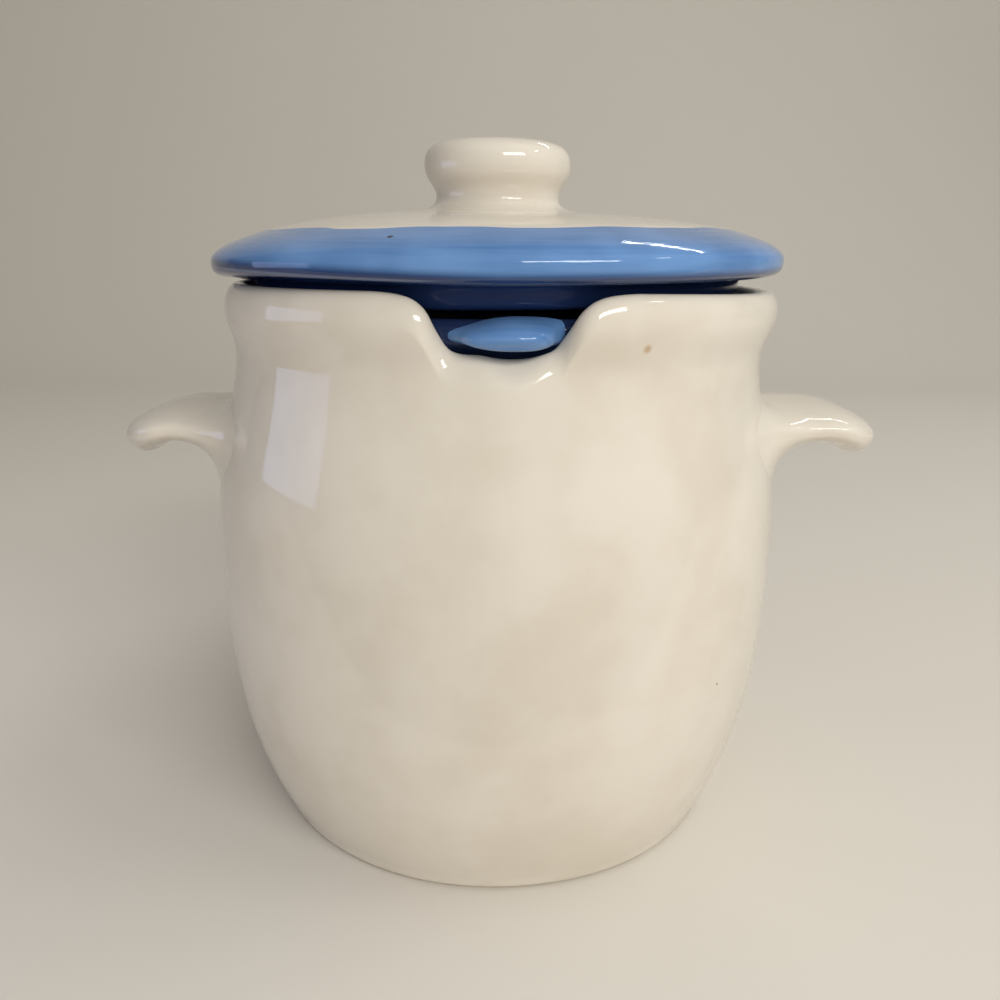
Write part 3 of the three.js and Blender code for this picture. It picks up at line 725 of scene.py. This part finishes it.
def makeTab():
    t, d = tabSizes, strainerSizes
    tab = startSkin("strainerTab", t)
    turn = math.radians(d["turn"])
    root = d["ringRadius"] - d["ringWidth"] / 2
    length = t["reach"] + d["ringWidth"] / 2
    for vertex in tab.data.vertices:
        share, angle = placeOnBall(vertex)
        across, over = bulged(math.cos(angle), t["squareness"]), bulged(math.sin(angle), t["squareness"])
        out = math.sin(quarter * share)
        swell = math.sqrt(max(1 - out ** 2, 0)) ** t["squareness"]
        flare = t["flare"] * max(1 - share / t["rootShare"], 0) ** 2
        sideways = across * (swell * t["width"] / 2 + flare)
        rise = over * swell * t["thickness"] / 2
        sideways *= t["leftStretch"] if across < 0 else t["rightStretch"]
        taper = smooth(-sideways / t["leftEnd"])
        height = t["middle"] - t["droop"] * out ** 2 - t["leftDrop"] * taper
        height += rise * (1 - t["leftThin"] * taper)
        if share < 0.001:
            sideways, height = 0, t["middle"]
        fromGroove = ((rise - t["grooveHeight"]) / t["grooveWidth"]) ** 2
        fromGroove += (sideways / t["grooveLength"]) ** 4
        radius = root + length * out - sideways ** 2 / (2 * root) * (1 - out)
        radius -= t["grooveDepth"] * math.exp(-fromGroove) * out
        vertex.co = Vector((
            sideways * math.cos(turn) + radius * math.sin(turn),
            sideways * math.sin(turn) - radius * math.cos(turn),
            height,
        )) * mm
    turnFacesOut()
    smoothPiece(tab, 1)
    tab.data.materials.append(brushedGlaze("brushedBlueGlazeTab", t["pooledAndShadedBelow"]))
    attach(tab, "strainer")
    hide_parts("strainer_tab")


makeDish()
makeTab()
print("strainer drilled and glazed")


# Lid and knob
lidSizes = {
    "seat": 135.6, "brimRadius": 69.2, "noseRise": 4, "noseDepth": 6.4, "thickness": 5.2,
    "domeRadius": 56.5, "domeRise": 11, "domeCrown": 4.4, "domeFullness": 2.6, "domeLean": 0.5,
    # How far the brim's curve is drawn out above and below its nose
    "shoulderPull": 0.27, "shoulderDrop": 1.3, "nosePull": 0.5, "nosePullDown": 0.62, "underPull": 0.42,
    "wearAt": -42, "wearReach": 46,         # degrees from the front
    "wearFrom": 61.2, "wearOver": 3, "wearDepth": 1,
    "locatorRadius": 59.2, "locatorWidth": 5, "locatorFillet": 1.6, "locatorFoot": 130.7,
    "columns": 288, "wobble": 0.35, "wobbleSize": 30,
    "pooledAndShadedBelow": 138.1, "pooledAndShadedOver": 2.2,    # painted shade, with pooled glaze: the glaze is darker below this height
    "lift": 0.45,           # it rests a little askew: millimetres,
    "rightUp": 0.6,         # and degrees
    "frontUp": 0.25,
}
knobSizes = {
    "radius": 17.9, "height": 17.1, "waistRadius": 15.1, "waistHeight": 3.5, "footRadius": 20.4,
    "bulgeShare": 0.54,
    "footReach": 4.6,       # its slip runs out this far beyond the foot,
    "footSink": 0.05,       # and just under the dome's skin
    "columns": 160, "wobble": 0.15, "wobbleSize": 16,
}


def domeHeight(radius):
    l = lidSizes
    return l["seat"] + l["domeRise"] + l["domeCrown"] * (1 - (radius / l["domeRadius"]) ** l["domeFullness"])


def wearBrim(piece):
    # The lower edge of the brim was sponged away a little at the front left
    l = lidSizes
    nose = l["seat"] + l["noseRise"]
    for vertex in piece.data.vertices:
        out = math.hypot(vertex.co.x, vertex.co.y) / mm
        angle = math.degrees(math.atan2(vertex.co.x, -vertex.co.y))
        share = smooth(1 - abs(angle - l["wearAt"]) / l["wearReach"])
        share *= smooth((out - l["wearFrom"]) / l["wearOver"])
        below = (nose - vertex.co.z / mm) / l["noseRise"]
        if below > 0:
            vertex.co.z += l["wearDepth"] * share * below * mm


def lidUpright():
    # Its own upward direction once it lies askew
    return (-math.radians(lidSizes["rightUp"]), math.radians(lidSizes["frontUp"]), 1)


def setAskew(piece):
    # Turns it about the middle of its seat, and lifts it off by the little that this takes
    l = lidSizes
    right = Matrix.Rotation(-math.radians(l["rightUp"]), 4, "Y")
    front = Matrix.Rotation(-math.radians(l["frontUp"]), 4, "X")
    seat = Matrix.Translation((0, 0, l["seat"] * mm))
    lift = Matrix.Translation((0, 0, l["lift"] * mm))
    piece.data.transform(lift @ seat @ right @ front @ seat.inverted())


def leanDome(piece):
    # The left half of the dome is a little fuller than the right one
    l = lidSizes
    for vertex in piece.data.vertices:
        out = math.hypot(vertex.co.x, vertex.co.y) / mm / l["domeRadius"]
        if out < 1:
            vertex.co.z -= l["domeLean"] * vertex.co.x / mm / l["domeRadius"] * (1 - out ** 2) * 2 * mm


def lidProfile():
    l = lidSizes
    nose = l["seat"] + l["noseRise"]
    domeEdge = l["seat"] + l["domeRise"]
    roll = l["locatorWidth"] / 2
    innerEdge = l["locatorRadius"] - l["locatorWidth"]
    dome = [l["domeRadius"] * (i + 1) / 20 for i in range(20)]
    domeEnd, noseEnd = (l["domeRadius"], domeEdge), (l["brimRadius"], nose)
    overBrim = (blendOf(l["domeRadius"], l["brimRadius"], l["shoulderPull"]), domeEdge - l["shoulderDrop"])
    overNose = (l["brimRadius"], blendOf(nose, domeEdge, l["nosePull"]))
    underNose = (l["brimRadius"], nose - l["noseRise"] * l["nosePullDown"])
    underBrim = (l["brimRadius"] - l["underPull"], l["seat"] + 0.1)
    filletOut = l["locatorRadius"] + l["locatorFillet"]
    under = [innerEdge * share for share in (1, 0.97, 0.85, 0.65, 0.45, 0.25, 0.1)]
    return [
        (0, domeHeight(0)), *[(radius, domeHeight(radius)) for radius in dome],
        *curve(domeEnd, overBrim, overNose, noseEnd, 30),
        *curve(noseEnd, underNose, underBrim, (l["brimRadius"] - l["noseDepth"], l["seat"]), 22),
        (filletOut + 1, l["seat"]), (filletOut, l["seat"]),
        *arc(filletOut, l["seat"] - l["locatorFillet"], l["locatorFillet"], l["locatorFillet"], 90, 180, 4),
        (l["locatorRadius"], l["locatorFoot"] + roll),
        *arc(l["locatorRadius"] - roll, l["locatorFoot"] + roll, roll, roll, 0, -180, 8),
        *[(radius, domeHeight(radius) - l["thickness"]) for radius in under],
        (0, domeHeight(0) - l["thickness"]),
    ]


def makeLid():
    l = lidSizes
    lid = throwPiece("lidShell", l["columns"], lidProfile())
    handWobble(lid, l)
    leanDome(lid)
    wearBrim(lid)
    smoothPiece(lid, 0)
    setAskew(lid)
    lid.data.materials.append(brushedGlaze(
        "brushedBlueGlazeLid", l["pooledAndShadedBelow"], l["pooledAndShadedOver"], upright=lidUpright(), paintedDome=True))
    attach(lid, "lid")
    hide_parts("lid")


def knobProfile():
    k = knobSizes
    base = domeHeight(k["footRadius"])
    waist = base + k["waistHeight"]
    top = base + k["height"]
    bulge = blendOf(waist, top, k["bulgeShare"])
    footOut = k["footRadius"] + k["footReach"]
    foot = (footOut, domeHeight(footOut) - k["footSink"])
    sunk = domeHeight(0) - 1.2
    return [
        (0, sunk), (k["waistRadius"], sunk), (footOut - 0.4, domeHeight(footOut) - 0.6), foot,
        *curve(foot, (blendOf(footOut, k["waistRadius"], 0.76), base + 0.3),
               (k["waistRadius"], blendOf(base, waist, 0.35)), (k["waistRadius"], waist), 18),
        *curve((k["waistRadius"], waist), (k["waistRadius"], blendOf(waist, bulge, 0.4)),
               (k["radius"], blendOf(bulge, waist, 0.5)), (k["radius"], bulge), 14),
        *curve((k["radius"], bulge), (k["radius"], blendOf(bulge, top, 0.8)),
               (k["radius"] * 0.83, top), (0, top), 28),
    ]


def makeKnob():
    knob = throwPiece("lidKnob", knobSizes["columns"], knobProfile())
    handWobble(knob, knobSizes)
    leanDome(knob)
    smoothPiece(knob, 0)
    setAskew(knob)
    knob.data.materials.append(glazedEarthenware("glazedEarthenwareKnob"))
    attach(knob, "lid")
    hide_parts("lid_knob")


makeLid()
makeKnob()
print("lid and knob made")


# Floor, lamps and world
studio = {
    "floorColour": "#dcd7ce", "floorRoughness": 0.7,
    "skyColour": "#efece6",
    "halfWidth": 1600,
    "front": 1500, "back": 700,     # from the jar to the ends of the floor
    "coveRadius": 500,
    "wallHeight": 1500,
    "shelfEdge": 118,       # in reflections the pale floor ends here, in front of the jar,
    "shelfBlur": 4,
    "roomColour": "#56514b",    # and a darker room begins
    "ambient": 0.37,
    "mirroredRoom": 0.12,   # the room is darker than its light where the glaze mirrors it
}
lamps = {
    # Where each hangs, where it points, its size across and down, and its brightness
    "key": {"at": (760, -80, 1150), "aim": (0, 0, 90), "size": (900, 900), "power": 4.9, "colour": "#fffcf8",
            "mirrored": False},
    "fill": {"at": (180, -900, 420), "aim": (0, 0, 90), "size": (500, 500), "power": 2, "colour": "#fff8f0",
             "mirrored": False},
    "frontWindow": {"at": (440, -840, 660), "aim": (0, 0, 130), "size": (620, 200), "power": 5,
                    "colour": "#fffefa", "mirrored": True},
    "tube": {"at": (520, 630, 940), "aim": (0, 0, 143), "size": (560, 16), "power": 0.9,
             "colour": "#ffffff", "mirrored": True},
    "sideLamp": {"at": (890, -240, 930), "aim": (0, 0, 130), "size": (150, 30), "power": 0.3,
                 "colour": "#ffffff", "mirrored": True},
    "paleBox": {"at": (-342, -62, 136), "aim": (-48, -62, 136), "size": (190, 105), "power": 0.1,
                "colour": "#bccbff", "mirrored": True},
}


def makeFloor():
    # A floor that curves up behind the jar into a wall
    s = studio
    bpy.ops.object.select_all(action="DESELECT")
    bpy.ops.mesh.primitive_plane_add(size=2)
    floor = bpy.context.object
    floor.name = floor.data.name = "studioFloor"
    for vertex in floor.data.vertices:
        vertex.co.x *= s["halfWidth"] * mm
        vertex.co.y *= (s["back"] if vertex.co.y > 0 else s["front"]) * mm
    bpy.ops.object.mode_set(mode="EDIT")
    bpy.ops.mesh.select_mode(type="EDGE")
    bpy.ops.mesh.select_all(action="DESELECT")
    bpy.ops.object.mode_set(mode="OBJECT")
    for edge in floor.data.edges:
        edge.select = all(floor.data.vertices[i].co.y > 0 for i in edge.vertices)
    bpy.ops.object.mode_set(mode="EDIT")
    coveMiddle = (0, s["back"] * mm, s["coveRadius"] * mm)
    bpy.ops.mesh.spin(steps=24, angle=-quarter, center=coveMiddle, axis=(1, 0, 0))
    bpy.ops.mesh.extrude_region_move(TRANSFORM_OT_translate={"value": (0, 0, s["wallHeight"] * mm)})
    bpy.ops.object.mode_set(mode="OBJECT")
    bpy.ops.object.shade_smooth_by_angle(angle=math.radians(50))
    floor.data.materials.append(mattPaper())


def mattPaper():
    # Pale matt paper, which only reflections see end in front of the jar
    s = studio
    material, tree, shader = newMaterial("mattPaperFloor")
    here = addNode(tree, "TexCoord", (-1400, 0), {}, {}, "Object")
    y = addNode(tree, "SeparateXYZ", (-1200, 0), {}, {0: here}, 1)
    beyond = addNode(tree, "MapRange", (-1000, 0), eased,
                     {0: y, 1: -s["shelfEdge"] * mm, 2: -(s["shelfEdge"] + s["shelfBlur"]) * mm})
    mirrored = addNode(tree, "LightPath", (-1000, 300), {}, {}, "Is Glossy Ray")
    share = addNode(tree, "Math", (-800, 0), multiplied, {0: beyond, 1: mirrored})
    colour = addNode(tree, "Mix", (-600, 0), blended,
                     {0: share, 6: linear(s["floorColour"]), 7: linear(s["roomColour"])}, 2)
    tree.links.new(colour, shader.inputs["Base Color"])
    shader.inputs["Roughness"].default_value = s["floorRoughness"]
    return material


def makeLamp(name):
    lamp = lamps[name]
    light = bpy.data.lights.new(name, "AREA")
    light.shape = "RECTANGLE"
    light.size, light.size_y = (side * mm for side in lamp["size"])
    light.energy = lamp["power"]
    light.color = linear(lamp["colour"])[:3]
    holder = bpy.data.objects.new(name, light)
    bpy.context.scene.collection.objects.link(holder)
    holder.location = [c * mm for c in lamp["at"]]
    aim = Vector(lamp["aim"]) - Vector(lamp["at"])
    holder.rotation_euler = aim.to_track_quat("-Z", "Y").to_euler()
    holder.visible_camera = False
    holder.visible_glossy = lamp["mirrored"]


def makeWorld():
    # Even light all round, dimmer where the glaze mirrors it and full where the camera sees it
    world = bpy.data.worlds.new("studioWorld")
    world.use_nodes = True
    bpy.context.scene.world = world
    tree = world.node_tree
    backdrop = tree.nodes["Background"]
    backdrop.inputs["Color"].default_value = linear(studio["skyColour"])
    path = addNode(tree, "LightPath", (-800, 200), {}, {}, None).outputs
    lit = addNode(tree, "MapRange", (-600, 0), eased,
                  {0: path["Is Glossy Ray"], 3: studio["ambient"], 4: studio["mirroredRoom"]})
    strength = addNode(tree, "Math", (-400, 0), {"operation": "MAXIMUM"}, {0: lit, 1: path["Is Camera Ray"]})
    tree.links.new(strength, backdrop.inputs["Strength"])


makeFloor()
for lampName in lamps:
    makeLamp(lampName)
makeWorld()
bpy.context.scene.view_settings.view_transform = "Standard"
print("floor, lamps and world set")
